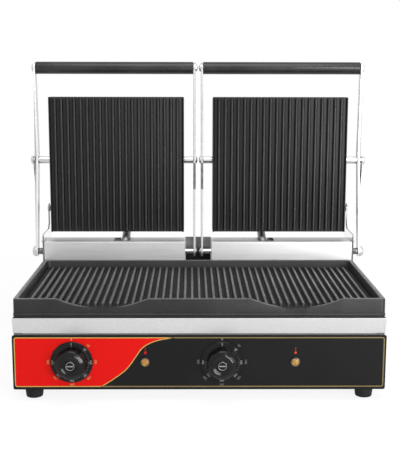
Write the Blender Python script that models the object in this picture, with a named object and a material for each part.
# Double contact grill: a base with a ribbed cast plate and a drip drawer, and two hinged upper plates.
# Metres, +Z up. The front is -Y and the table is z = 0.
import math
import bpy
import bmesh
from mathutils import Matrix, Vector

# Clearances
FIT = 0.0003
RUN = 0.0003
OVERRUN = 0.004

# Base casing
BODY_WIDTH = 0.520
SHEET = 0.0012
FOOT_HEIGHT = 0.0175
BODY_TOP = 0.1215
TOP_LEDGE = 0.012
VENT_LENGTH = 0.034
VENT_HEIGHT = 0.004
VENT_PITCH = 0.048
VENT_COUNT = 8
VENT_Z = 0.080
FLOOR_VENT_COUNT = 5
FLOOR_VENT_ROWS = 2
FLOOR_VENT_ROW_PITCH = 0.120

# Feet
FOOT_TOP_RADIUS = 0.0139
FOOT_TIP_RADIUS = 0.0118
FOOT_INSET_X = 0.0235
FOOT_INSET_Y = 0.022
FOOT_EDGE = 0.0015

# Control panel
PANEL_OVERHANG = 0.002
PANEL_HEIGHT = 0.079
PANEL_THICKNESS = 0.0017
PANEL_CORNER = 0.0025
CONTROL_Z = 0.0579
KNOB_EDGE_ROOM = 0.081
KNOB_SPACING = 0.2107
LAMP_OFFSET = 0.1027

# Knobs and thermostats
SPINDLE_RADIUS = 0.003
SPINDLE_HOLE_RADIUS = 0.0052
SPINDLE_INSIDE = 0.014
KNOB_SKIRT_RADIUS = 0.0295
KNOB_SKIRT_THICKNESS = 0.0035
KNOB_SKIRT_BEVEL = 0.0012
KNOB_GRIP_RADIUS = 0.0219
KNOB_HEIGHT = 0.021
KNOB_LOBES = 6
KNOB_LOBE_DEPTH = 0.0014
KNOB_TAPER = 0.0012
KNOB_SOCKET_DEPTH = 0.012
THERMOSTAT_WIDTH = 0.044
THERMOSTAT_HEIGHT = 0.040
THERMOSTAT_DEPTH = 0.032
THERMOSTAT_NOSE_RADIUS = 0.009
THERMOSTAT_NOSE_LENGTH = 0.004

# Pilot lamps
LAMP_BEZEL_RADIUS = 0.0070
LAMP_BEZEL_THICKNESS = 0.0022
LAMP_BARREL_RADIUS = 0.0050
LAMP_BORE_RADIUS = 0.0038
LAMP_BARREL_LENGTH = 0.016
LAMP_LENS_RADIUS = 0.0054
LAMP_LENS_SEAT = 0.0010
LAMP_LENS_DOME = 0.0020
LAMP_LENS_STEPS = 3

# Lower plate
PLATE_SETBACK = 0.0058
PLATE_DEPTH = 0.2664
PLATE_RIM_Z = 0.1474
PLATE_FLANGE_Z = 0.1218
PLATE_FLANGE_HEIGHT = 0.0042
PLATE_FLANGE_REACH = 0.0020
PLATE_UNDERSIDE_Z = 0.1240
PLATE_FLOOR_Z = 0.1330
PLATE_RIM_WALL = 0.0068
PLATE_RIM_DRAFT = 0.0012
PLATE_CORNER = 0.0060
SPOUT_OFFSET = 0.0058
SPOUT_WIDTH = 0.128
SPOUT_DEPTH = 0.0136
SPOUT_STEPS = 12
RIB_HEIGHT = 0.0048
RIB_BASE_WIDTH = 0.0068
RIB_CREST_WIDTH = 0.0034
LOWER_RIB_SIDE_ROOM = 0.0020
LOWER_RIB_PITCH = 0.0105
LOWER_RIB_END_GAP = 0.0050
RIB_END_STEPS = 3

# Heating elements
ELEMENT_RADIUS = 0.004
ELEMENT_SPREAD = 0.078
ELEMENT_RUN = 0.094
ELEMENT_BEND = 0.026
ELEMENT_BEND_STEPS = 5
HEAT_SHIELD_Z = 0.1115
HEAT_SHIELD_SETBACK = 0.016
HEAT_SHIELD_LIP = 0.0040

# Drip drawer
TRAY_FASCIA_FOOT_Z = 0.0998
TRAY_FASCIA_TOP_Z = 0.1222
TRAY_FASCIA_LEAN = 0.0050
TRAY_FASCIA_FOLD = 0.0035
TRAY_SIDE_INSET = 0.010
TRAY_PAN_DEPTH = 0.190
TRAY_PAN_TOP_Z = 0.1095
TRAY_SHELF_Z = 0.0985

# Hinge housings
HOUSING_INNER_X = 0.0222
HOUSING_DEPTH = 0.041
HOUSING_TOP_Z = 0.1778
HOUSING_EDGE = 0.0022
HINGE_INSET = 0.0188
HINGE_Z = 0.1581
CHANNEL_WALL_Z = 0.1790

# Hinge shaft and counterbalance springs
SHAFT_RADIUS = 0.0042
COIL_WIRE_RADIUS = 0.0012
COIL_TURNS = 7
COIL_PITCH = 0.0036
COIL_STEPS = 8
NUT_RADIUS = 0.0062
SPACER_RADIUS = 0.0058
NUT_LENGTH = 0.0031

# Side brackets with stop pins
BRACKET_THICKNESS = 0.0025
BRACKET_TOP_Z = 0.1900
BRACKET_FOOT_INSET = 0.0015
BRACKET_HORN_RADIUS = 0.0085
BRACKET_HORN_STEPS = 6
STOP_RADIUS = 0.0056
STOP_NECK_RADIUS = 0.0030
STOP_BELOW_STUD = 0.0868
STOP_REACH = 0.024
STOP_HEAD = 0.0035

# Lifting arms and handles
ARM_LEAN = math.radians(11.04)
ARM_LOWER_LENGTH = 0.1555
ARM_UPPER_LENGTH = 0.1578
ARM_WIDTH = 0.018
OUTER_ARM_ROOM = 0.0099
OUTER_ARM_THICKNESS = 0.0050
OUTER_ARM_SPLAY = 0.0040
OUTER_ARM_SPLAY_START = 0.012
INNER_ARM_X = 0.0064
INNER_ARM_THICKNESS = 0.0040
ARM_END_STEPS = 6
GRIP_RADIUS = 0.0104
ROD_RADIUS = 0.0040
ROD_CAP_RADIUS = 0.0080
ROD_CAP_LENGTH = 0.0014
INNER_HEAD_RADIUS = 0.0065
INNER_HEAD_LENGTH = 0.0030
HINGE_CAP_RADIUS = 0.0088
HINGE_CAP_LENGTH = 0.0050
LEAF_LENGTH = 0.046
LEAF_WIDTH = 0.012
LEAF_THICKNESS = 0.0008
LEAF_STANDOFF = 0.0036

# Upper plates
UPPER_INNER_X = 0.0242
UPPER_SIDE_ROOM = 0.0207
UPPER_LEAN = math.radians(0.8)
UPPER_ABOVE_STUD = 0.1067
UPPER_GAP_ABOVE_HOUSING = 0.01140
UPPER_FACE_DEPTH = 0.0210
UPPER_FLOOR_THICKNESS = 0.0085
UPPER_WALL = 0.0060
UPPER_WALL_BACK = 0.0070
UPPER_CORNER = 0.0045
UPPER_RIB_SIDE_ROOM = 0.0020
UPPER_RIB_PITCH = 0.0108
UPPER_RIB_END_GAP = 0.0035
STUD_RADIUS = 0.0061
STUD_THREAD_RADIUS = 0.0040
STUD_THREAD_DEPTH = 0.0050
STUD_CAP_RADIUS = 0.0070
STUD_CAP_LENGTH = 0.0044

# Upper covers
COVER_INSET = 0.0020
COVER_FLANGE = 0.0030
COVER_BACK = 0.0240
COVER_TAPER = 0.0080
COVER_CORNER = 0.0120
COVER_CORNER_STEPS = 4

# Flexible conduits
LEFT_CONDUIT_X = -0.1245
RIGHT_CONDUIT_X = 0.1105
CONDUIT_RADIUS = 0.0070
CONDUIT_ROOT_RADIUS = 0.0061
CONDUIT_BORE_RADIUS = 0.0050
CONDUIT_SIDES = 8
CONDUIT_RIB_PITCH = 0.0042
CONDUIT_EXIT_INSET = 0.0285
CONDUIT_EXIT_SINK = 0.0085
CONDUIT_RISE = math.radians(12.0)
CONDUIT_BEND = 0.060
SLOT_SIDE_ROOM = 0.0100
SLOT_LANE_ROOM = 0.0006
SLOT_REAR_BRIDGE = 0.0050
SLOT_FRONT_ROOM = 0.0030
SLOT_REAR_DROP = 0.0130
ELBOW_BELOW_STUD = 0.0050
ELBOW_REACH = 0.0250
ELBOW_DROP = 0.0220
ELBOW_BEND = 0.0120
ELBOW_RADIUS = 0.0078
ELBOW_FLANGE_RADIUS = 0.0110
ELBOW_FLANGE = 0.0030
ELBOW_BORE_RADIUS = 0.0052
ELBOW_STEPS = 4

# Cord gland
GLAND_EDGE_ROOM = 0.070
GLAND_Z = 0.052
GLAND_BODY_RADIUS = 0.0085
GLAND_NUT_RADIUS = 0.0125
GLAND_BORE_RADIUS = 0.0052
GLAND_LENGTH = 0.020
GLAND_INSIDE = 0.010
GLAND_NUT_LENGTH = 0.0050

# Facets of round pieces
FACETS_LARGE = 24
FACETS = 16
FACETS_SMALL = 12
ELBOW_SIDES = 8
KNOB_POINTS_PER_LOBE = 6
SPRING_SIDES = 5

# Places that follow from the sizes above; the part is centred front to back on its own box
LEAN_VECTOR = Vector((0.0, math.sin(ARM_LEAN), math.cos(ARM_LEAN)))
PLATE_UP = Vector((0.0, math.sin(UPPER_LEAN), math.cos(UPPER_LEAN)))
PLATE_BACK = Vector((0.0, math.cos(UPPER_LEAN), -math.sin(UPPER_LEAN)))
HOUSING_SETBACK = PLATE_SETBACK + PLATE_DEPTH + FIT
BODY_DEPTH = HOUSING_SETBACK + HOUSING_DEPTH - PANEL_THICKNESS - FIT
HINGE_SETBACK = HOUSING_SETBACK + HINGE_INSET
CONDUIT_EXIT_SETBACK = HOUSING_SETBACK + HOUSING_DEPTH - CONDUIT_EXIT_INSET
STUD_SETBACK = HINGE_SETBACK + ARM_LOWER_LENGTH * math.sin(ARM_LEAN)
STUD_Z = HINGE_Z + ARM_LOWER_LENGTH * math.cos(ARM_LEAN)
UPPER_BELOW_STUD = (STUD_Z - HOUSING_TOP_Z - UPPER_GAP_ABOVE_HOUSING) / math.cos(UPPER_LEAN)
OUTLET_SETBACK = STUD_SETBACK + (COVER_BACK + ELBOW_REACH) * PLATE_BACK.y - (ELBOW_BELOW_STUD + ELBOW_DROP) * PLATE_UP.y
REAR_REACH = OUTLET_SETBACK + CONDUIT_RADIUS + (ELBOW_BELOW_STUD + ELBOW_DROP) * math.sin(UPPER_LEAN)
FRONT_Y = (KNOB_HEIGHT + FIT - REAR_REACH) / 2
BODY_REAR = FRONT_Y + PANEL_THICKNESS + FIT + BODY_DEPTH
BODY_FRONT = FRONT_Y + PANEL_THICKNESS + FIT
BODY_HALF = BODY_WIDTH / 2
HINGE_Y = FRONT_Y + HINGE_SETBACK
STUD_Y = FRONT_Y + STUD_SETBACK
HOUSING_FRONT = FRONT_Y + HOUSING_SETBACK
PLATE_FRONT = FRONT_Y + PLATE_SETBACK
PLATE_REAR = PLATE_FRONT + PLATE_DEPTH
PANEL_WIDTH = BODY_WIDTH + 2 * PANEL_OVERHANG
PLATE_WIDTH = BODY_WIDTH
TRAY_FASCIA_WIDTH = BODY_WIDTH
LEFT_KNOB_X = KNOB_EDGE_ROOM - BODY_HALF
RIGHT_KNOB_X = LEFT_KNOB_X + KNOB_SPACING
SPOUT_CENTRE_X = PLATE_WIDTH / 4 + SPOUT_OFFSET
HOUSING_OUTER_X = BODY_HALF - SHEET
OUTER_ARM_X = HOUSING_OUTER_X + FIT + BRACKET_THICKNESS + OUTER_ARM_ROOM + OUTER_ARM_THICKNESS / 2
UPPER_WIDTH = OUTER_ARM_X - OUTER_ARM_THICKNESS / 2 - UPPER_SIDE_ROOM - UPPER_INNER_X
GLAND_X = BODY_HALF - GLAND_EDGE_ROOM
LOWER_RIB_SPAN = PLATE_WIDTH - 2 * (PLATE_RIM_WALL + PLATE_RIM_DRAFT + LOWER_RIB_SIDE_ROOM)
LOWER_RIB_COUNT = int(LOWER_RIB_SPAN / LOWER_RIB_PITCH)
UPPER_RIB_COUNT = int((UPPER_WIDTH - 2 * UPPER_RIB_SIDE_ROOM) / UPPER_RIB_PITCH)
SIDES = {"left": -1, "right": 1}


def clear_scene():
    for thing in list(bpy.data.objects):
        bpy.data.objects.remove(thing, do_unlink=True)


def make_material(name, colour, roughness, metallic):
    material = bpy.data.materials.new(name)
    material.use_nodes = True
    shader = material.node_tree.nodes["Principled BSDF"]
    shader.inputs["Base Color"].default_value = (*colour, 1.0)
    shader.inputs["Roughness"].default_value = roughness
    shader.inputs["Metallic"].default_value = metallic
    return material


FINISHES = {
    "cast": ((0.035, 0.035, 0.036), 0.62, 0.30),
    "steel": ((0.62, 0.62, 0.62), 0.30, 1.0),
    "bright": ((0.75, 0.75, 0.75), 0.15, 1.0),
    "panel": ((0.03, 0.03, 0.03), 0.35, 0.0),
    "black": ((0.02, 0.02, 0.02), 0.45, 0.0),
    "rubber": ((0.025, 0.025, 0.025), 0.80, 0.0),
    "amber": ((0.75, 0.30, 0.05), 0.20, 0.0),
    "element": ((0.20, 0.20, 0.19), 0.55, 1.0),
    "bronze": ((0.45, 0.30, 0.14), 0.40, 1.0),
    "galvanised": ((0.45, 0.46, 0.46), 0.50, 1.0),
    "ivory": ((0.70, 0.68, 0.60), 0.50, 0.0),
}


def finish(thing, key):
    thing.data.materials.append(make_material(thing.name + "_finish", *FINISHES[key]))
    return thing


def object_from(bm, name, key, parent=None, smooth=True):
    bmesh.ops.recalc_face_normals(bm, faces=bm.faces)
    mesh = bpy.data.meshes.new(name)
    bm.to_mesh(mesh)
    bm.free()
    if smooth:
        mesh.shade_smooth()
        mesh.set_sharp_from_angle(angle=math.radians(35.0))
    thing = bpy.data.objects.new(name, mesh)
    bpy.context.scene.collection.objects.link(thing)
    thing.parent = parent
    return finish(thing, key) if key else thing


def make_cutter(bm, name, parent=None):
    thing = object_from(bm, name, None, parent, smooth=False)
    thing.hide_render = True
    thing.display_type = "WIRE"
    thing.hide_set(True)
    return thing


def combine(target, tool, operation="DIFFERENCE"):
    modifier = target.modifiers.new(tool.name, "BOOLEAN")
    modifier.operation = operation
    modifier.solver = "EXACT"
    modifier.object = tool
    return target


def pivot(name, location, tilt=0.0, parent=None):
    empty = bpy.data.objects.new(name, None)
    bpy.context.scene.collection.objects.link(empty)
    empty.location = location
    empty.rotation_euler = (tilt, 0.0, 0.0)
    empty.parent = parent
    return empty


def add_box(bm, low, high):
    low, high = Vector(low), Vector(high)
    made = bmesh.ops.create_cube(bm, size=1.0)
    for vert in made["verts"]:
        for i in range(3):
            middle = (low[i] + high[i]) / 2
            vert.co[i] = middle + vert.co[i] * (high[i] - low[i])
    return made["verts"]


def add_prism(bm, outline, axis, low, high):
    # The outline lies in the two other axes, in X, Y, Z order
    others = [i for i in range(3) if i != axis]
    rings = []
    for level in (low, high):
        ring = []
        for first, second in outline:
            place = [0.0, 0.0, 0.0]
            place[axis] = level
            place[others[0]] = first
            place[others[1]] = second
            ring.append(bm.verts.new(place))
        rings.append(ring)
    bm.faces.new(rings[0])
    bm.faces.new(rings[1])
    bridge(bm, rings[0], rings[1])
    return rings


def bridge(bm, ring_a, ring_b):
    count = len(ring_a)
    for i in range(count):
        j = (i + 1) % count
        bm.faces.new((ring_a[i], ring_a[j], ring_b[j], ring_b[i]))


def add_turned(bm, profile, axis, centre, facets):
    # The profile is a list of (radius, place along the axis); it closes on itself or on the axis
    others = [i for i in range(3) if i != axis]
    centre = Vector(centre)
    rings = []
    for radius, along in profile:
        if radius <= 0.0:
            place = centre.copy()
            place[axis] += along
            rings.append([bm.verts.new(place)])
            continue
        ring = []
        for i in range(facets):
            angle = 2 * math.pi * i / facets
            place = centre.copy()
            place[axis] += along
            place[others[0]] += radius * math.cos(angle)
            place[others[1]] += radius * math.sin(angle)
            ring.append(bm.verts.new(place))
        rings.append(ring)
    closed = all(len(ring) > 1 for ring in rings)
    pairs = list(zip(rings, rings[1:]))
    if closed:
        pairs.append((rings[-1], rings[0]))
    for ring_a, ring_b in pairs:
        if len(ring_a) == 1 and len(ring_b) == 1:
            continue
        if len(ring_a) == 1 or len(ring_b) == 1:
            tip, ring = (ring_a[0], ring_b) if len(ring_a) == 1 else (ring_b[0], ring_a)
            for i in range(facets):
                bm.faces.new((tip, ring[i], ring[(i + 1) % facets]))
        else:
            bridge(bm, ring_a, ring_b)


def rod_profile(radius, start, end):
    return [(0.0, start), (radius, start), (radius, end), (0.0, end)]


def tube_profile(outer, inner, start, end):
    return [(outer, start), (outer, end), (inner, end), (inner, start)]


def dome_profile(radius, start, end, steps=4):
    points = [(0.0, start), (radius, start)]
    for i in range(steps + 1):
        angle = math.pi / 2 * i / steps
        points.append((radius * math.cos(angle), start + (end - start) * (0.35 + 0.65 * math.sin(angle))))
    points[-1] = (0.0, end)
    return points


def sweep_rings(bm, points, radii, sides):
    # Rings of vertices across a path that lies in a plane of constant X or turns about X
    rings = []
    for i, point in enumerate(points):
        before = points[max(i - 1, 0)]
        after = points[min(i + 1, len(points) - 1)]
        ahead = (after - before).normalized()
        side = Vector((1.0, 0.0, 0.0))
        side = (side - ahead * side.dot(ahead)).normalized()
        up = ahead.cross(side)
        ring = []
        for k in range(sides):
            angle = 2 * math.pi * (k + 0.5) / sides
            ring.append(bm.verts.new(point + (side * math.cos(angle) + up * math.sin(angle)) * radii[i]))
        rings.append(ring)
    for ring_a, ring_b in zip(rings, rings[1:]):
        bridge(bm, ring_a, ring_b)
    return rings


def add_pipe(bm, points, radii, bore_points, bore_radii, sides):
    outer = sweep_rings(bm, points, radii, sides)
    inner = sweep_rings(bm, bore_points, bore_radii, sides)
    bridge(bm, outer[0], inner[0])
    bridge(bm, outer[-1], inner[-1])


def rounded_rectangle(low_a, high_a, low_b, high_b, radius, steps):
    corners = [(high_a - radius, high_b - radius, 0.0), (low_a + radius, high_b - radius, 0.5),
               (low_a + radius, low_b + radius, 1.0), (high_a - radius, low_b + radius, 1.5)]
    outline = []
    for mid_a, mid_b, turn in corners:
        for i in range(steps + 1):
            angle = math.pi * (turn + 0.5 * i / steps)
            outline.append((mid_a + radius * math.cos(angle), mid_b + radius * math.sin(angle)))
    return outline


def bevel_all(thing, width, segments=2):
    modifier = thing.modifiers.new("Edges", "BEVEL")
    modifier.width = width
    modifier.segments = segments
    modifier.limit_method = "ANGLE"
    modifier.angle_limit = math.radians(40.0)
    return thing


def base_shell():
    bm = bmesh.new()
    add_box(bm, (-BODY_HALF, BODY_FRONT, FOOT_HEIGHT), (BODY_HALF, BODY_REAR, BODY_TOP))
    shell = object_from(bm, "base_shell", "steel", smooth=False)
    bm = bmesh.new()
    # A shelf stays between the space for the controls and the space for the drip tray
    add_box(bm, (-BODY_HALF + SHEET, BODY_FRONT + SHEET, FOOT_HEIGHT - OVERRUN),
            (BODY_HALF - SHEET, BODY_REAR - SHEET, TRAY_SHELF_Z - SHEET))
    add_box(bm, (-BODY_HALF + SHEET, BODY_FRONT + SHEET, TRAY_SHELF_Z),
            (BODY_HALF - SHEET, BODY_REAR - SHEET, BODY_TOP - SHEET))
    combine(shell, make_cutter(bm, "shell_inside"))
    bm = bmesh.new()
    add_box(bm, (-BODY_HALF + TOP_LEDGE, PLATE_FRONT + TOP_LEDGE, BODY_TOP - SHEET - OVERRUN),
            (BODY_HALF - TOP_LEDGE, PLATE_REAR - TOP_LEDGE, BODY_TOP + OVERRUN))
    combine(shell, make_cutter(bm, "shell_top_opening"))
    bm = bmesh.new()
    slot_half = BODY_HALF - TRAY_SIDE_INSET + SHEET
    add_box(bm, (-slot_half, BODY_FRONT - OVERRUN, TRAY_SHELF_Z),
            (slot_half, BODY_FRONT + SHEET + OVERRUN, BODY_TOP - SHEET))
    for x in (LEFT_KNOB_X, RIGHT_KNOB_X):
        add_turned(bm, rod_profile(THERMOSTAT_NOSE_RADIUS + FIT, -OVERRUN, SHEET + OVERRUN), 1,
                   (x, BODY_FRONT, CONTROL_Z), FACETS)
        add_turned(bm, rod_profile(LAMP_BARREL_RADIUS + FIT, -OVERRUN, SHEET + OVERRUN), 1,
                   (x + LAMP_OFFSET, BODY_FRONT, CONTROL_Z), FACETS)
    combine(shell, make_cutter(bm, "shell_front_holes"))
    bm = bmesh.new()
    for i in range(VENT_COUNT):
        x = (i - (VENT_COUNT - 1) / 2) * VENT_PITCH
        add_box(bm, (x - VENT_LENGTH / 2, BODY_REAR - SHEET - OVERRUN, VENT_Z - VENT_HEIGHT / 2),
                (x + VENT_LENGTH / 2, BODY_REAR + OVERRUN, VENT_Z + VENT_HEIGHT / 2))
    add_turned(bm, rod_profile(GLAND_BODY_RADIUS + FIT, -SHEET - OVERRUN, OVERRUN), 1,
               (GLAND_X, BODY_REAR, GLAND_Z), FACETS)
    combine(shell, make_cutter(bm, "shell_rear_holes"))
    return shell


def bottom_cover():
    bm = bmesh.new()
    low_x, low_y = -BODY_HALF + SHEET + FIT, BODY_FRONT + SHEET + FIT
    add_box(bm, (low_x, low_y, FOOT_HEIGHT), (-low_x, BODY_REAR - SHEET - FIT, FOOT_HEIGHT + SHEET))
    cover = object_from(bm, "bottom_cover", "galvanised", smooth=False)
    bm = bmesh.new()
    middle = (BODY_FRONT + BODY_REAR) / 2
    for row in range(FLOOR_VENT_ROWS):
        y = middle + (row - (FLOOR_VENT_ROWS - 1) / 2) * FLOOR_VENT_ROW_PITCH
        for i in range(FLOOR_VENT_COUNT):
            x = (i - (FLOOR_VENT_COUNT - 1) / 2) * VENT_PITCH
            add_box(bm, (x - VENT_LENGTH / 2, y - VENT_HEIGHT / 2, FOOT_HEIGHT - OVERRUN),
                    (x + VENT_LENGTH / 2, y + VENT_HEIGHT / 2, FOOT_HEIGHT + SHEET + OVERRUN))
    combine(cover, make_cutter(bm, "cover_vents"))


def feet():
    top = FOOT_HEIGHT - FIT
    profile = [(0.0, 0.0), (FOOT_TIP_RADIUS - FOOT_EDGE, 0.0), (FOOT_TIP_RADIUS, FOOT_EDGE),
               (FOOT_TOP_RADIUS, top - FOOT_EDGE), (FOOT_TOP_RADIUS - FOOT_EDGE, top), (0.0, top)]
    for end, y in (("front", BODY_FRONT + FOOT_INSET_Y), ("rear", BODY_REAR - FOOT_INSET_Y)):
        for side, sign in SIDES.items():
            bm = bmesh.new()
            add_turned(bm, profile, 2, (0.0, 0.0, 0.0), FACETS)
            foot = object_from(bm, "foot_" + end + "_" + side, "rubber")
            foot.location = (sign * (BODY_HALF - FOOT_INSET_X), y, 0.0)


def control_panel():
    bm = bmesh.new()
    outline = rounded_rectangle(-PANEL_WIDTH / 2, PANEL_WIDTH / 2, FOOT_HEIGHT, FOOT_HEIGHT + PANEL_HEIGHT,
                                PANEL_CORNER, 3)
    add_prism(bm, outline, 1, FRONT_Y, FRONT_Y + PANEL_THICKNESS)
    panel = object_from(bm, "control_panel", "panel", smooth=False)
    bm = bmesh.new()
    for x in (LEFT_KNOB_X, RIGHT_KNOB_X):
        for place, radius in ((x, SPINDLE_HOLE_RADIUS), (x + LAMP_OFFSET, LAMP_BARREL_RADIUS + FIT)):
            add_turned(bm, rod_profile(radius, -OVERRUN, PANEL_THICKNESS + OVERRUN), 1,
                       (place, FRONT_Y, CONTROL_Z), FACETS)
    combine(panel, make_cutter(bm, "panel_holes"))


def knob_outline(radius):
    outline = []
    count = KNOB_LOBES * KNOB_POINTS_PER_LOBE
    for i in range(count):
        angle = 2 * math.pi * i / count
        reach = radius - KNOB_LOBE_DEPTH * (1.0 - math.cos(KNOB_LOBES * angle)) / 2
        outline.append((reach * math.cos(angle), reach * math.sin(angle)))
    return outline


def knob(side, x):
    axis = pivot("knob_" + side + "_axis", (x, FRONT_Y, CONTROL_Z))
    bm = bmesh.new()
    near = -FIT
    skirt = near - KNOB_SKIRT_THICKNESS
    add_turned(bm, [(0.0, near), (KNOB_SKIRT_RADIUS, near), (KNOB_SKIRT_RADIUS, skirt + KNOB_SKIRT_BEVEL),
                    (KNOB_SKIRT_RADIUS - KNOB_SKIRT_BEVEL, skirt), (0.0, skirt)], 1, (0.0, 0.0, 0.0), FACETS_LARGE)
    body = object_from(bm, "knob_" + side, "black", axis)
    bm = bmesh.new()
    rings = []
    for radius, y in ((KNOB_GRIP_RADIUS, skirt + KNOB_SKIRT_BEVEL), (KNOB_GRIP_RADIUS - KNOB_TAPER / 2,
                      -KNOB_HEIGHT + KNOB_TAPER), (KNOB_GRIP_RADIUS - 2 * KNOB_TAPER, -KNOB_HEIGHT)):
        rings.append([bm.verts.new((a, y, b)) for a, b in knob_outline(radius)])
    bm.faces.new(rings[0])
    bm.faces.new(rings[-1])
    for ring_a, ring_b in zip(rings, rings[1:]):
        bridge(bm, ring_a, ring_b)
    combine(body, make_cutter(bm, "knob_grip_" + side, axis), "UNION")
    bm = bmesh.new()
    add_turned(bm, rod_profile(SPINDLE_RADIUS + FIT, -KNOB_SOCKET_DEPTH - FIT, OVERRUN), 1, (0.0, 0.0, 0.0), FACETS_SMALL)
    combine(body, make_cutter(bm, "knob_socket_" + side, axis))
    bm = bmesh.new()
    inside = PANEL_THICKNESS + FIT + SPINDLE_INSIDE
    add_turned(bm, rod_profile(SPINDLE_RADIUS, -KNOB_SOCKET_DEPTH, inside), 1, (0.0, 0.0, 0.0), FACETS_SMALL)
    object_from(bm, "knob_spindle_" + side, "galvanised", axis)


def thermostat(side, x):
    bm = bmesh.new()
    face = BODY_FRONT + SHEET + FIT
    add_box(bm, (x - THERMOSTAT_WIDTH / 2, face, CONTROL_Z - THERMOSTAT_HEIGHT / 2),
            (x + THERMOSTAT_WIDTH / 2, face + THERMOSTAT_DEPTH, CONTROL_Z + THERMOSTAT_HEIGHT / 2))
    body = object_from(bm, "thermostat_" + side, "galvanised", smooth=False)
    bm = bmesh.new()
    nose = max(SHEET, THERMOSTAT_NOSE_LENGTH - SHEET) / 2
    add_turned(bm, rod_profile(THERMOSTAT_NOSE_RADIUS, -nose, nose), 1, (x, face, CONTROL_Z), FACETS)
    combine(body, make_cutter(bm, "thermostat_nose_" + side), "UNION")
    bm = bmesh.new()
    add_turned(bm, rod_profile(SPINDLE_RADIUS + RUN, -OVERRUN, PANEL_THICKNESS + FIT + SPINDLE_INSIDE + FIT), 1,
               (x, FRONT_Y, CONTROL_Z), FACETS_SMALL)
    combine(body, make_cutter(bm, "thermostat_bore_" + side))


def pilot_lamp(side, x):
    centre = (x, FRONT_Y, CONTROL_Z)
    seat = LAMP_LENS_RADIUS + FIT
    front = -FIT - LAMP_BEZEL_THICKNESS
    bm = bmesh.new()
    add_turned(bm, [(LAMP_BEZEL_RADIUS, -FIT), (LAMP_BARREL_RADIUS, -FIT), (LAMP_BARREL_RADIUS, LAMP_BARREL_LENGTH),
                    (LAMP_BORE_RADIUS, LAMP_BARREL_LENGTH), (LAMP_BORE_RADIUS, -LAMP_LENS_SEAT),
                    (seat, -LAMP_LENS_SEAT), (seat, front), ((LAMP_BEZEL_RADIUS + seat) / 2, front),
                    (LAMP_BEZEL_RADIUS, -LAMP_LENS_SEAT)], 1, centre, FACETS)
    object_from(bm, "lamp_bezel_" + side, "bright")
    foot = -LAMP_LENS_SEAT - FIT
    profile = [(0.0, foot), (LAMP_LENS_RADIUS, foot), (LAMP_LENS_RADIUS, front)]
    for i in range(1, LAMP_LENS_STEPS):
        angle = math.pi / 2 * i / LAMP_LENS_STEPS
        profile.append((LAMP_LENS_RADIUS * math.cos(angle), front - LAMP_LENS_DOME * math.sin(angle)))
    profile.append((0.0, front - LAMP_LENS_DOME))
    bm = bmesh.new()
    add_turned(bm, profile, 1, centre, FACETS)
    object_from(bm, "lamp_lens_" + side, "amber")


def rib_bars(bm, count, pitch, centre_a, low_b, high_b, root, crest, depth_axis):
    # Each rib is a bar with rounded ends and sloping flanks; depth_axis is the way it stands up
    for i in range(count):
        middle = centre_a + (i - (count - 1) / 2) * pitch
        rings = []
        for width, level in ((RIB_BASE_WIDTH, root), (RIB_CREST_WIDTH, crest)):
            half = width / 2
            outline = []
            for end, turn in ((high_b - RIB_BASE_WIDTH / 2, 0.0), (low_b + RIB_BASE_WIDTH / 2, 1.0)):
                for k in range(RIB_END_STEPS + 1):
                    angle = math.pi * (turn + k / RIB_END_STEPS)
                    outline.append((middle + half * math.cos(angle), end + half * math.sin(angle)))
            ring = []
            for a, b in outline:
                place = (a, b, level) if depth_axis == 2 else (a, level, b)
                ring.append(bm.verts.new(place))
            rings.append(ring)
        bm.faces.new(rings[0])
        bm.faces.new(rings[1])
        bridge(bm, rings[0], rings[1])


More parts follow.
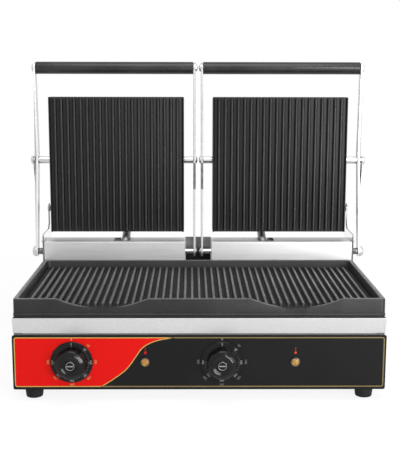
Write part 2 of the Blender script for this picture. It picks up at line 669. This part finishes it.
def lower_plate():
    half = PLATE_WIDTH / 2
    bm = bmesh.new()
    outline = rounded_rectangle(-half, half, PLATE_FRONT, PLATE_REAR, PLATE_CORNER, 3)
    add_prism(bm, outline, 2, PLATE_UNDERSIDE_Z, PLATE_RIM_Z)
    plate = object_from(bm, "lower_plate", "cast", smooth=False)
    bm = bmesh.new()
    outline = rounded_rectangle(-half - PLATE_FLANGE_REACH / 2, half + PLATE_FLANGE_REACH / 2,
                                PLATE_FRONT - PLATE_FLANGE_REACH, PLATE_REAR, PLATE_CORNER, 3)
    add_prism(bm, outline, 2, PLATE_FLANGE_Z, PLATE_FLANGE_Z + PLATE_FLANGE_HEIGHT)
    flange = make_cutter(bm, "plate_flange")
    bm = bmesh.new()
    add_box(bm, (-half + TOP_LEDGE, PLATE_FRONT + TOP_LEDGE, PLATE_FLANGE_Z - OVERRUN),
            (half - TOP_LEDGE, PLATE_REAR - TOP_LEDGE, PLATE_UNDERSIDE_Z))
    underside = make_cutter(bm, "plate_underside")
    bm = bmesh.new()
    rings = []
    slope = PLATE_RIM_DRAFT / (PLATE_RIM_Z - PLATE_FLOOR_Z)
    for level in (PLATE_FLOOR_Z, PLATE_RIM_Z + OVERRUN):
        inset = PLATE_RIM_WALL + (PLATE_RIM_Z - level) * slope
        outline = rounded_rectangle(-half + inset, half - inset, PLATE_FRONT + inset, PLATE_REAR - inset,
                                    PLATE_CORNER, 3)
        rings.append([bm.verts.new((a, b, level)) for a, b in outline])
    bm.faces.new(rings[0])
    bm.faces.new(rings[1])
    bridge(bm, rings[0], rings[1])
    well = make_cutter(bm, "plate_well")
    combine(plate, flange, "UNION")
    combine(plate, underside)
    combine(plate, well)
    bm = bmesh.new()
    for centre in (-SPOUT_CENTRE_X, SPOUT_CENTRE_X):
        outline = [(centre - SPOUT_WIDTH / 2, PLATE_RIM_Z + OVERRUN)]
        for i in range(SPOUT_STEPS + 1):
            share = i / SPOUT_STEPS
            drop = SPOUT_DEPTH * 4 * share * (1.0 - share)
            outline.append((centre + (share - 0.5) * SPOUT_WIDTH, PLATE_RIM_Z - drop))
        outline.append((centre + SPOUT_WIDTH / 2, PLATE_RIM_Z + OVERRUN))
        add_prism(bm, outline, 1, PLATE_FRONT - OVERRUN,
                  PLATE_FRONT + PLATE_RIM_WALL + PLATE_RIM_DRAFT + OVERRUN / 2)
    combine(plate, make_cutter(bm, "plate_spouts"))
    bm = bmesh.new()
    inset = PLATE_RIM_WALL + PLATE_RIM_DRAFT + LOWER_RIB_END_GAP
    rib_bars(bm, LOWER_RIB_COUNT, LOWER_RIB_PITCH, 0.0, PLATE_FRONT + inset, PLATE_REAR - inset,
             PLATE_FLOOR_Z - RIB_HEIGHT / 4, PLATE_FLOOR_Z + RIB_HEIGHT, 2)
    combine(plate, make_cutter(bm, "plate_ribs"), "UNION")


def element_path(across, along):
    # A tube folded into three bends, with both tails at the rear
    spread, run, bend = ELEMENT_SPREAD, ELEMENT_RUN, ELEMENT_BEND
    lanes = [-spread, -spread / 3, spread / 3, spread]
    points = [(lanes[0], -run)]
    for i, (lane, after) in enumerate(zip(lanes, lanes[1:])):
        top = i % 2 == 0
        radius = (after - lane) / 2
        end = (run - bend) if top else -(run - bend)
        for k in range(ELEMENT_BEND_STEPS + 1):
            angle = math.pi * k / ELEMENT_BEND_STEPS
            shift = radius * math.sin(angle)
            points.append(((lane + after) / 2 - radius * math.cos(angle), end + (shift if top else -shift)))
    points.append((lanes[-1], -run))
    return [(across + a, along + b) for a, b in points]


def element_tube(name, points, parent=None):
    curve = bpy.data.curves.new(name, "CURVE")
    curve.dimensions = "3D"
    curve.bevel_depth = ELEMENT_RADIUS
    curve.bevel_resolution = 1
    curve.use_fill_caps = True
    spline = curve.splines.new("POLY")
    spline.points.add(len(points) - 1)
    for spot, place in zip(spline.points, points):
        spot.co = (*place, 1.0)
    tube = bpy.data.objects.new(name, curve)
    bpy.context.scene.collection.objects.link(tube)
    tube.parent = parent
    return finish(tube, "element")


def lower_elements():
    z = PLATE_UNDERSIDE_Z - FIT - ELEMENT_RADIUS
    middle = (PLATE_FRONT + PLATE_REAR) / 2
    for side, sign in SIDES.items():
        path = element_path(sign * PLATE_WIDTH / 4, 0.0)
        element_tube("lower_element_" + side, [(a, middle - b, z) for a, b in path])


def heat_shield():
    top = PLATE_UNDERSIDE_Z - 2 * (FIT + ELEMENT_RADIUS)
    bm = bmesh.new()
    half = BODY_HALF - SHEET - FIT
    add_box(bm, (-half, FRONT_Y + HEAT_SHIELD_SETBACK, HEAT_SHIELD_Z),
            (half, BODY_REAR - SHEET - FIT, HEAT_SHIELD_Z + SHEET))
    shield = object_from(bm, "heat_shield", "galvanised", smooth=False)
    bm = bmesh.new()
    middle = (PLATE_FRONT + PLATE_REAR) / 2
    for sign in SIDES.values():
        low = sign * PLATE_WIDTH / 4 - ELEMENT_SPREAD - ELEMENT_RADIUS
        high = sign * PLATE_WIDTH / 4 + ELEMENT_SPREAD + ELEMENT_RADIUS
        for y in (middle - ELEMENT_RUN / 2, middle + ELEMENT_RUN / 2):
            add_box(bm, (low, y - HEAT_SHIELD_LIP, HEAT_SHIELD_Z + SHEET / 2), (high, y + HEAT_SHIELD_LIP, top))
    combine(shield, make_cutter(bm, "shield_rests"), "UNION")


def drip_tray():
    axis = pivot("drip_tray_axis", (0.0, FRONT_Y, TRAY_SHELF_Z))
    half = TRAY_FASCIA_WIDTH / 2
    foot = TRAY_FASCIA_FOOT_Z - TRAY_SHELF_Z
    top = TRAY_FASCIA_TOP_Z - TRAY_SHELF_Z
    lean = TRAY_FASCIA_LEAN
    bm = bmesh.new()
    outline = [(PANEL_THICKNESS, foot), (PANEL_THICKNESS - SHEET, foot), (-lean - SHEET / 2, top),
               (-lean + TRAY_FASCIA_FOLD, top), (-lean + TRAY_FASCIA_FOLD, top - SHEET),
               (-lean + SHEET, top - SHEET)]
    add_prism(bm, outline, 0, -half, half)
    tray = object_from(bm, "drip_tray", "steel", axis, smooth=False)
    pan_half = BODY_HALF - TRAY_SIDE_INSET
    pan_top = TRAY_PAN_TOP_Z - TRAY_SHELF_Z
    low, high = FIT, PANEL_THICKNESS - SHEET / 2
    bm = bmesh.new()
    add_box(bm, (-pan_half, high, low), (pan_half, TRAY_PAN_DEPTH, pan_top))
    pan = make_cutter(bm, "tray_pan", axis)
    bm = bmesh.new()
    add_box(bm, (-pan_half + SHEET, PANEL_THICKNESS, low + SHEET),
            (pan_half - SHEET, TRAY_PAN_DEPTH - SHEET, pan_top + OVERRUN))
    combine(tray, pan, "UNION")
    combine(tray, make_cutter(bm, "tray_hollow", axis))


def conduit_x(side):
    return LEFT_CONDUIT_X if side == "left" else RIGHT_CONDUIT_X


def slot_span(side, sign):
    # The slot lies clear of the conduit on the outer side and close to it on the inner side.
    # Only the conduit's own lane is open to the rear.
    x = conduit_x(side)
    near = x - sign * (CONDUIT_RADIUS + FIT)
    far = x + sign * (CONDUIT_RADIUS + SLOT_SIDE_ROOM)
    return min(near, far), max(near, far)


def hinge_housing(side, sign):
    low, high = sorted((sign * HOUSING_INNER_X, sign * HOUSING_OUTER_X))
    bm = bmesh.new()
    add_box(bm, (low, HOUSING_FRONT, BODY_TOP + FIT), (high, BODY_REAR, HOUSING_TOP_Z))
    upper = [edge for edge in bm.edges if all(v.co.z > HINGE_Z for v in edge.verts)]
    bmesh.ops.bevel(bm, geom=upper, offset=HOUSING_EDGE, segments=2, affect="EDGES", profile=0.5)
    housing = object_from(bm, "hinge_housing_" + side, "steel")
    bm = bmesh.new()
    add_box(bm, (low + SHEET, HOUSING_FRONT + SHEET, BODY_TOP - OVERRUN),
            (high - SHEET, BODY_REAR - SHEET, HOUSING_TOP_Z - SHEET))
    combine(housing, make_cutter(bm, "housing_inside_" + side))
    bm = bmesh.new()
    slot_low, slot_high = slot_span(side, sign)
    slot_front = FRONT_Y + CONDUIT_EXIT_SETBACK - SLOT_FRONT_ROOM
    add_box(bm, (slot_low, slot_front, HOUSING_TOP_Z - SLOT_REAR_DROP),
            (slot_high, BODY_REAR - SLOT_REAR_BRIDGE, HOUSING_TOP_Z + OVERRUN))
    combine(housing, make_cutter(bm, "housing_slot_" + side))
    bm = bmesh.new()
    x = conduit_x(side)
    lane = sorted((x - sign * (CONDUIT_RADIUS + FIT), x + sign * (CONDUIT_RADIUS + SLOT_LANE_ROOM)))
    add_box(bm, (lane[0], BODY_REAR - SLOT_REAR_BRIDGE - OVERRUN, HOUSING_TOP_Z - SLOT_REAR_DROP),
            (lane[1], BODY_REAR + OVERRUN, HOUSING_TOP_Z + OVERRUN))
    combine(housing, make_cutter(bm, "housing_lane_" + side))
    bm = bmesh.new()
    add_turned(bm, rod_profile(SHAFT_RADIUS + RUN, low - OVERRUN, high + OVERRUN), 0, (0.0, HINGE_Y, HINGE_Z), FACETS)
    combine(housing, make_cutter(bm, "housing_bore_" + side))


def centre_channel():
    half = HOUSING_INNER_X - FIT
    z = BODY_TOP + FIT
    bm = bmesh.new()
    outline = [(HOUSING_FRONT, z), (BODY_REAR, z), (BODY_REAR, CHANNEL_WALL_Z), (BODY_REAR - SHEET, CHANNEL_WALL_Z),
               (BODY_REAR - SHEET, z + SHEET), (HOUSING_FRONT, z + SHEET)]
    add_prism(bm, outline, 0, -half, half)
    object_from(bm, "centre_channel", "steel", smooth=False)


def counter_spring(side, sign):
    mean = SHAFT_RADIUS + RUN + COIL_WIRE_RADIUS
    start = HOUSING_OUTER_X - SHEET - FIT - COIL_WIRE_RADIUS
    bm = bmesh.new()
    rings = []
    count = COIL_TURNS * COIL_STEPS
    sides = SPRING_SIDES
    for i in range(count + 1):
        angle = 2 * math.pi * i / COIL_STEPS
        radial = Vector((0.0, math.cos(angle), math.sin(angle)))
        centre = Vector((sign * (start - COIL_PITCH * i / COIL_STEPS), HINGE_Y, HINGE_Z)) + radial * mean
        ring = []
        for k in range(sides):
            turn = 2 * math.pi * k / sides
            offset = radial * math.cos(turn) + Vector((1.0, 0.0, 0.0)) * math.sin(turn)
            ring.append(bm.verts.new(centre + offset * COIL_WIRE_RADIUS))
        rings.append(ring)
    for ring_a, ring_b in zip(rings, rings[1:]):
        bridge(bm, ring_a, ring_b)
    bm.faces.new(rings[0])
    bm.faces.new(rings[-1])
    object_from(bm, "counter_spring_" + side, "element")


def stop_centre():
    # Just behind the raised cover, well below the stud
    stud = Vector((0.0, STUD_Y, STUD_Z))
    return stud + PLATE_BACK * (COVER_BACK + FIT + STOP_RADIUS) - PLATE_UP * STOP_BELOW_STUD


def side_bracket(side, sign):
    centre = stop_centre()
    rear = centre.y
    foot_rear = BODY_REAR - BRACKET_FOOT_INSET
    z = BODY_TOP + FIT
    outline = [(HOUSING_FRONT, z), (foot_rear, z), (rear + BRACKET_HORN_RADIUS, BRACKET_TOP_Z - BRACKET_HORN_RADIUS)]
    for k in range(BRACKET_HORN_STEPS + 1):
        angle = math.pi * k / BRACKET_HORN_STEPS
        outline.append((centre.y + BRACKET_HORN_RADIUS * math.cos(angle), centre.z + BRACKET_HORN_RADIUS * math.sin(angle)))
    outline.append((centre.y - BRACKET_HORN_RADIUS, BRACKET_TOP_Z + BRACKET_HORN_RADIUS))
    outline.append((centre.y - 2 * BRACKET_HORN_RADIUS, BRACKET_TOP_Z))
    outline.append((HOUSING_FRONT, BRACKET_TOP_Z))
    low = HOUSING_OUTER_X + FIT
    bm = bmesh.new()
    add_prism(bm, outline, 0, sign * low, sign * (low + BRACKET_THICKNESS))
    bracket = object_from(bm, "side_bracket_" + side, "steel", smooth=False)
    bm = bmesh.new()
    for place, radius in (((0.0, HINGE_Y, HINGE_Z), SHAFT_RADIUS + RUN), (centre, STOP_NECK_RADIUS + FIT)):
        add_turned(bm, rod_profile(radius, sign * (low - OVERRUN), sign * (low + BRACKET_THICKNESS + OVERRUN)), 0,
                   (0.0, place[1], place[2]), FACETS_SMALL)
    combine(bracket, make_cutter(bm, "bracket_holes_" + side))


def stop_pin(side, sign):
    centre = stop_centre()
    inside = HOUSING_OUTER_X
    outside = HOUSING_OUTER_X + FIT + BRACKET_THICKNESS + FIT
    profile = [(0.0, inside - STOP_REACH), (STOP_RADIUS, inside - STOP_REACH), (STOP_RADIUS, inside),
               (STOP_NECK_RADIUS, inside), (STOP_NECK_RADIUS, outside), (STOP_RADIUS, outside),
               (STOP_RADIUS, outside + STOP_HEAD), (0.0, outside + STOP_HEAD)]
    bm = bmesh.new()
    add_turned(bm, [(r, sign * a) for r, a in profile], 0, (0.0, centre.y, centre.z), FACETS_SMALL)
    object_from(bm, "stop_pin_" + side, "rubber")


def arm_outline(grow=0.0):
    # Side view of an arm in the hinge's own frame: round ends and a straight bar that leans back
    half = ARM_WIDTH / 2
    length = ARM_LOWER_LENGTH + ARM_UPPER_LENGTH
    points = []
    for along, turn in ((length, 0.0), (0.0, 1.0)):
        for k in range(ARM_END_STEPS + 1):
            angle = math.pi * (turn + k / ARM_END_STEPS)
            points.append((half * math.cos(angle), along + half * math.sin(angle)))
        bend = ARM_LOWER_LENGTH + OUTER_ARM_SPLAY_START
        points.append(((-half if turn == 0.0 else half), bend))
    return points


def arm(name, side, sign, x, thickness, splay, parent):
    low, high = sorted((sign * (x - thickness / 2), sign * (x + thickness / 2)))
    bend = ARM_LOWER_LENGTH + OUTER_ARM_SPLAY_START
    bm = bmesh.new()
    add_prism(bm, arm_outline(), 0, low, high)
    # Split across the bend, so that the upper stretch can slope outwards
    geometry = bm.verts[:] + bm.edges[:] + bm.faces[:]
    bmesh.ops.bisect_plane(bm, geom=geometry, plane_co=(0.0, 0.0, bend), plane_no=(0.0, 0.0, 1.0))
    for vert in bm.verts:
        beyond = max(vert.co.z - bend, 0.0) / (ARM_UPPER_LENGTH - OUTER_ARM_SPLAY_START)
        vert.co.x += sign * splay * beyond
    lean = Matrix.Rotation(-ARM_LEAN, 4, "X")
    bmesh.ops.transform(bm, matrix=lean, verts=bm.verts)
    bar = object_from(bm, name + "_" + side, "steel", parent, smooth=False)
    bm = bmesh.new()
    reach = thickness + splay
    for along, radius in ((0.0, SHAFT_RADIUS + FIT), (ARM_LOWER_LENGTH, STUD_THREAD_RADIUS + FIT),
                          (ARM_LOWER_LENGTH + ARM_UPPER_LENGTH, ROD_RADIUS + FIT)):
        place = LEAN_VECTOR * along
        add_turned(bm, rod_profile(radius, sign * (x - reach), sign * (x + reach)), 0,
                   (0.0, place.y, place.z), FACETS_SMALL)
    combine(bar, make_cutter(bm, name + "_holes_" + side, parent))


def handle(side, sign, parent):
    place = LEAN_VECTOR * (ARM_LOWER_LENGTH + ARM_UPPER_LENGTH)
    centre = (0.0, place.y, place.z)
    # The splayed arm leans by this much across the radius of what meets it
    slope = OUTER_ARM_SPLAY / (ARM_UPPER_LENGTH - OUTER_ARM_SPLAY_START)
    inner = INNER_ARM_X + INNER_ARM_THICKNESS / 2 + FIT
    outer = OUTER_ARM_X - OUTER_ARM_THICKNESS / 2 + OUTER_ARM_SPLAY - FIT - slope * GRIP_RADIUS
    bm = bmesh.new()
    add_turned(bm, tube_profile(GRIP_RADIUS, ROD_RADIUS + FIT, sign * inner, sign * outer), 0, centre, FACETS)
    object_from(bm, "handle_grip_" + side, "black", parent)
    head = INNER_ARM_X - INNER_ARM_THICKNESS / 2 - FIT
    cap = OUTER_ARM_X + OUTER_ARM_THICKNESS / 2 + OUTER_ARM_SPLAY + FIT + slope * ROD_CAP_RADIUS
    profile = [(0.0, head - INNER_HEAD_LENGTH), (INNER_HEAD_RADIUS, head - INNER_HEAD_LENGTH / 2),
               (INNER_HEAD_RADIUS, head), (ROD_RADIUS, head)]
    profile.extend([(ROD_RADIUS, cap)] + dome_profile(ROD_CAP_RADIUS, cap, cap + ROD_CAP_LENGTH)[1:])
    bm = bmesh.new()
    add_turned(bm, [(r, sign * a) for r, a in profile], 0, centre, FACETS_SMALL)
    object_from(bm, "handle_rod_" + side, "bright", parent)


def hinge_shaft(side, sign, parent):
    head = INNER_ARM_X - INNER_ARM_THICKNESS / 2 - FIT
    cap = OUTER_ARM_X + OUTER_ARM_THICKNESS / 2 + FIT
    profile = [(0.0, head - INNER_HEAD_LENGTH), (INNER_HEAD_RADIUS, head - INNER_HEAD_LENGTH / 2),
               (INNER_HEAD_RADIUS, head), (SHAFT_RADIUS, head)]
    profile.extend([(SHAFT_RADIUS, cap)] + dome_profile(HINGE_CAP_RADIUS, cap, cap + HINGE_CAP_LENGTH)[1:])
    bm = bmesh.new()
    add_turned(bm, [(r, sign * a) for r, a in profile], 0, (0.0, 0.0, 0.0), FACETS_SMALL)
    object_from(bm, "hinge_shaft_" + side, "bright", parent)


def hinge_spacer(side, sign, parent):
    # A nut face against the bracket, then a slimmer collar up to the outer arm
    bore = SHAFT_RADIUS + FIT
    start = HOUSING_OUTER_X + 2 * FIT + BRACKET_THICKNESS
    step = start + NUT_LENGTH
    stop = OUTER_ARM_X - OUTER_ARM_THICKNESS / 2 - FIT
    profile = [(bore, start), (NUT_RADIUS, start), (NUT_RADIUS, step), (SPACER_RADIUS, step), (SPACER_RADIUS, stop),
               (bore, stop)]
    bm = bmesh.new()
    add_turned(bm, [(r, sign * a) for r, a in profile], 0, (0.0, 0.0, 0.0), FACETS_SMALL)
    object_from(bm, "hinge_spacer_" + side, "bright", parent)


def tilt_leaf(side, sign, parent):
    # A thin leaf under the stud cap, which slopes in to the arm's face
    outer = OUTER_ARM_X + OUTER_ARM_THICKNESS / 2 + FIT
    half = LEAF_WIDTH / 2
    top = ARM_LOWER_LENGTH + half
    foot = ARM_LOWER_LENGTH - LEAF_LENGTH
    outline = [(outer, foot), (outer + LEAF_THICKNESS, foot), (outer + LEAF_STANDOFF, ARM_LOWER_LENGTH - half),
               (outer + LEAF_STANDOFF, top), (outer + LEAF_STANDOFF - LEAF_THICKNESS, top),
               (outer + LEAF_STANDOFF - LEAF_THICKNESS, ARM_LOWER_LENGTH - half)]
    bm = bmesh.new()
    add_prism(bm, [(sign * a, b) for a, b in outline], 1, -half, half)
    bmesh.ops.transform(bm, matrix=Matrix.Rotation(-ARM_LEAN, 4, "X"), verts=bm.verts)
    leaf = object_from(bm, "tilt_leaf_" + side, "bright", parent, smooth=False)
    bm = bmesh.new()
    place = LEAN_VECTOR * ARM_LOWER_LENGTH
    add_turned(bm, rod_profile(STUD_THREAD_RADIUS + FIT, sign * (outer - OVERRUN),
                               sign * (outer + LEAF_STANDOFF + OVERRUN)), 0, (0.0, place.y, place.z), FACETS_SMALL)
    combine(leaf, make_cutter(bm, "leaf_hole_" + side, parent))


def upper_plate(side, sign, parent):
    # In the stud's own frame: X across, -Y towards the cooking face, Z up the raised plate
    low, high = sorted((sign * UPPER_INNER_X, sign * (UPPER_INNER_X + UPPER_WIDTH)))
    face = -UPPER_FACE_DEPTH + RIB_HEIGHT
    bm = bmesh.new()
    outline = rounded_rectangle(low, high, -UPPER_BELOW_STUD, UPPER_ABOVE_STUD, UPPER_CORNER, 3)
    add_prism(bm, outline, 1, face, UPPER_WALL_BACK)
    plate = object_from(bm, "upper_plate_" + side, "cast", parent, smooth=False)
    bm = bmesh.new()
    wall = UPPER_WALL
    add_box(bm, (low + wall, face + UPPER_FLOOR_THICKNESS, -UPPER_BELOW_STUD + wall),
            (high - wall, UPPER_WALL_BACK + OVERRUN, UPPER_ABOVE_STUD - wall))
    combine(plate, make_cutter(bm, "upper_hollow_" + side, parent))
    bm = bmesh.new()
    add_turned(bm, rod_profile(STUD_THREAD_RADIUS + FIT, low - OVERRUN, high + OVERRUN), 0, (0.0, 0.0, 0.0), FACETS_SMALL)
    combine(plate, make_cutter(bm, "upper_stud_bore_" + side, parent))
    bm = bmesh.new()
    rib_bars(bm, UPPER_RIB_COUNT, UPPER_RIB_PITCH, (low + high) / 2, -UPPER_BELOW_STUD + UPPER_RIB_END_GAP,
             UPPER_ABOVE_STUD - UPPER_RIB_END_GAP, face + RIB_HEIGHT / 4, face - RIB_HEIGHT, 1)
    combine(plate, make_cutter(bm, "upper_ribs_" + side, parent), "UNION")


def pivot_studs(side, sign, parent):
    outer_edge = UPPER_INNER_X + UPPER_WIDTH
    arm_in = OUTER_ARM_X - OUTER_ARM_THICKNESS / 2
    cap = OUTER_ARM_X + OUTER_ARM_THICKNESS / 2 + FIT + LEAF_STANDOFF + FIT
    profile = [(0.0, outer_edge - STUD_THREAD_DEPTH), (STUD_THREAD_RADIUS, outer_edge - STUD_THREAD_DEPTH),
               (STUD_THREAD_RADIUS, outer_edge + FIT), (STUD_RADIUS, outer_edge + FIT), (STUD_RADIUS, arm_in - FIT),
               (STUD_THREAD_RADIUS, arm_in - FIT), (STUD_THREAD_RADIUS, cap)]
    profile.extend(dome_profile(STUD_CAP_RADIUS, cap, cap + STUD_CAP_LENGTH)[1:])
    bm = bmesh.new()
    add_turned(bm, [(r, sign * a) for r, a in profile], 0, (0.0, 0.0, 0.0), FACETS_SMALL)
    object_from(bm, "pivot_stud_outer_" + side, "bright", parent)
    arm_out = INNER_ARM_X + INNER_ARM_THICKNESS / 2
    cap = INNER_ARM_X - INNER_ARM_THICKNESS / 2 - FIT
    profile = [(0.0, UPPER_INNER_X + STUD_THREAD_DEPTH), (STUD_THREAD_RADIUS, UPPER_INNER_X + STUD_THREAD_DEPTH),
               (STUD_THREAD_RADIUS, UPPER_INNER_X - FIT), (STUD_RADIUS, UPPER_INNER_X - FIT),
               (STUD_RADIUS, arm_out + FIT), (STUD_THREAD_RADIUS, arm_out + FIT), (STUD_THREAD_RADIUS, cap),
               (INNER_HEAD_RADIUS, cap), (INNER_HEAD_RADIUS, cap - INNER_HEAD_LENGTH / 2),
               (0.0, cap - INNER_HEAD_LENGTH)]
    bm = bmesh.new()
    add_turned(bm, [(r, sign * a) for r, a in profile], 0, (0.0, 0.0, 0.0), FACETS_SMALL)
    object_from(bm, "pivot_stud_inner_" + side, "bright", parent)


def cover_shell_rings(bm, low, high, inset, back, flange_y):
    rings = []
    for grow, y in ((0.0, flange_y), (0.0, flange_y + COVER_FLANGE), (COVER_TAPER, back)):
        gap = COVER_INSET + inset + grow
        radius = COVER_CORNER - grow / 2
        outline = rounded_rectangle(low + gap, high - gap, -UPPER_BELOW_STUD + gap, UPPER_ABOVE_STUD - gap,
                                    radius, COVER_CORNER_STEPS)
        rings.append([bm.verts.new((a, y, b)) for a, b in outline])
    bm.faces.new(rings[0])
    bm.faces.new(rings[-1])
    for ring_a, ring_b in zip(rings, rings[1:]):
        bridge(bm, ring_a, ring_b)


def upper_cover(side, sign, parent):
    low, high = sorted((sign * UPPER_INNER_X, sign * (UPPER_INNER_X + UPPER_WIDTH)))
    flange = UPPER_WALL_BACK + FIT
    bm = bmesh.new()
    cover_shell_rings(bm, low, high, 0.0, COVER_BACK, flange)
    cover = object_from(bm, "upper_cover_" + side, "steel", parent)
    bm = bmesh.new()
    cover_shell_rings(bm, low, high, SHEET, COVER_BACK - SHEET, flange - OVERRUN)
    combine(cover, make_cutter(bm, "cover_inside_" + side, parent))
    bm = bmesh.new()
    add_turned(bm, rod_profile(ELBOW_BORE_RADIUS, COVER_BACK - SHEET - OVERRUN, COVER_BACK + OVERRUN), 1,
               (conduit_x(side), 0.0, -ELBOW_BELOW_STUD), FACETS_SMALL)
    combine(cover, make_cutter(bm, "cover_port_" + side, parent))


def upper_element(side, sign, parent):
    y = -UPPER_FACE_DEPTH + RIB_HEIGHT + UPPER_FLOOR_THICKNESS + FIT + ELEMENT_RADIUS
    middle = (UPPER_ABOVE_STUD - UPPER_BELOW_STUD) / 2
    path = element_path(sign * (UPPER_INNER_X + UPPER_WIDTH / 2), middle)
    element_tube("upper_element_" + side, [(a, y, b) for a, b in path], parent)


def conduit_elbow(side, parent):
    x = conduit_x(side)
    start = COVER_BACK + FIT
    corner_y = COVER_BACK + ELBOW_REACH - ELBOW_BEND
    corner_z = -ELBOW_BELOW_STUD - ELBOW_BEND
    points = [(start, -ELBOW_BELOW_STUD), (start + ELBOW_FLANGE, -ELBOW_BELOW_STUD),
              (start + ELBOW_FLANGE + FIT, -ELBOW_BELOW_STUD)]
    radii = [ELBOW_FLANGE_RADIUS, ELBOW_FLANGE_RADIUS, ELBOW_RADIUS]
    for k in range(ELBOW_STEPS + 1):
        angle = math.pi / 2 * k / ELBOW_STEPS
        points.append((corner_y + ELBOW_BEND * math.sin(angle), corner_z + ELBOW_BEND * math.cos(angle)))
        radii.append(ELBOW_RADIUS)
    points.append((COVER_BACK + ELBOW_REACH, -ELBOW_BELOW_STUD - ELBOW_DROP))
    radii.append(ELBOW_RADIUS)
    path = [Vector((x, y, z)) for y, z in points]
    bm = bmesh.new()
    add_pipe(bm, path, radii, path, [ELBOW_BORE_RADIUS] * len(path), ELBOW_SIDES)
    object_from(bm, "conduit_elbow_" + side, "bright", parent)


def conduit_route(side):
    # Out of the housing at a low angle, one round bend, then straight up into the elbow
    x = conduit_x(side)
    rise, climb = CONDUIT_RISE, math.pi / 2 - UPPER_LEAN
    start = Vector((x, FRONT_Y + CONDUIT_EXIT_SETBACK, HOUSING_TOP_Z - CONDUIT_EXIT_SINK))
    stud = Vector((x, STUD_Y, STUD_Z))
    end = stud + PLATE_BACK * (COVER_BACK + ELBOW_REACH) - PLATE_UP * (ELBOW_BELOW_STUD + ELBOW_DROP + FIT)
    first = Vector((0.0, math.cos(rise), math.sin(rise)))
    last = Vector((0.0, math.cos(climb), math.sin(climb)))
    arc = Vector((0.0, CONDUIT_BEND * (math.sin(climb) - math.sin(rise)),
                  CONDUIT_BEND * (math.cos(rise) - math.cos(climb))))
    rest = end - start - arc
    span = first.y * last.z - first.z * last.y
    first_length = (rest.y * last.z - rest.z * last.y) / span
    last_length = (first.y * rest.z - first.z * rest.y) / span
    arc_length = CONDUIT_BEND * (climb - rise)
    return start, first, first_length, rise, arc_length, last, last_length


def conduit_point(route, distance):
    start, first, first_length, rise, arc_length, last, last_length = route
    if distance <= first_length:
        return start + first * distance
    corner = start + first * first_length
    turned = min(distance - first_length, arc_length) / CONDUIT_BEND
    point = corner + Vector((0.0, CONDUIT_BEND * (math.sin(rise + turned) - math.sin(rise)),
                             CONDUIT_BEND * (math.cos(rise) - math.cos(rise + turned))))
    return point + last * max(distance - first_length - arc_length, 0.0)


def conduit(side):
    route = conduit_route(side)
    length = route[2] + route[4] + route[6]
    plain = 2 * CONDUIT_RADIUS
    ribs = int((length - 2 * plain) / CONDUIT_RIB_PITCH)
    pitch = (length - 2 * plain) / ribs
    places = [(0.0, CONDUIT_ROOT_RADIUS)]
    for i in range(ribs):
        places.append((plain + (i + 0.25) * pitch, CONDUIT_RADIUS))
        places.append((plain + (i + 0.75) * pitch, CONDUIT_ROOT_RADIUS))
    places.append((length, CONDUIT_ROOT_RADIUS))
    bore_steps = 24
    bore = [length * i / bore_steps for i in range(bore_steps + 1)]
    bm = bmesh.new()
    add_pipe(bm, [conduit_point(route, s) for s, r in places], [r for s, r in places],
             [conduit_point(route, s) for s in bore], [CONDUIT_BORE_RADIUS] * len(bore), CONDUIT_SIDES)
    object_from(bm, "conduit_" + side, "galvanised")
    print("conduit", side, "length", round(length, 4), "ribs", ribs)


def cord_gland():
    out = FIT + GLAND_NUT_LENGTH
    profile = [(GLAND_BORE_RADIUS, -SHEET - GLAND_INSIDE), (GLAND_BODY_RADIUS, -SHEET - GLAND_INSIDE),
               (GLAND_BODY_RADIUS, FIT), (GLAND_NUT_RADIUS, FIT), (GLAND_NUT_RADIUS, out),
               (GLAND_BODY_RADIUS + FIT, out), (GLAND_BODY_RADIUS, GLAND_LENGTH * 0.7),
               (GLAND_BORE_RADIUS + SHEET, GLAND_LENGTH), (GLAND_BORE_RADIUS, GLAND_LENGTH)]
    bm = bmesh.new()
    add_turned(bm, profile, 1, (GLAND_X, BODY_REAR, GLAND_Z), FACETS)
    object_from(bm, "cord_gland", "black")


def lifting_side(side, sign):
    bail = pivot("bail_" + side + "_axis", (0.0, HINGE_Y, HINGE_Z))
    arm("arm_outer", side, sign, OUTER_ARM_X, OUTER_ARM_THICKNESS, OUTER_ARM_SPLAY, bail)
    arm("arm_inner", side, sign, INNER_ARM_X, INNER_ARM_THICKNESS, 0.0, bail)
    handle(side, sign, bail)
    hinge_shaft(side, sign, bail)
    hinge_spacer(side, sign, bail)
    tilt_leaf(side, sign, bail)
    stud = LEAN_VECTOR * ARM_LOWER_LENGTH
    plate = pivot("upper_" + side + "_axis", stud, -UPPER_LEAN, bail)
    upper_plate(side, sign, plate)
    upper_cover(side, sign, plate)
    upper_element(side, sign, plate)
    pivot_studs(side, sign, plate)
    conduit_elbow(side, plate)


def build():
    clear_scene()
    base_shell()
    bottom_cover()
    feet()
    control_panel()
    for side, x in (("left", LEFT_KNOB_X), ("right", RIGHT_KNOB_X)):
        knob(side, x)
        thermostat(side, x)
        pilot_lamp(side, x + LAMP_OFFSET)
    lower_plate()
    lower_elements()
    heat_shield()
    drip_tray()
    centre_channel()
    cord_gland()
    for side, sign in SIDES.items():
        hinge_housing(side, sign)
        side_bracket(side, sign)
        stop_pin(side, sign)
        counter_spring(side, sign)
        conduit(side)
        lifting_side(side, sign)


build()
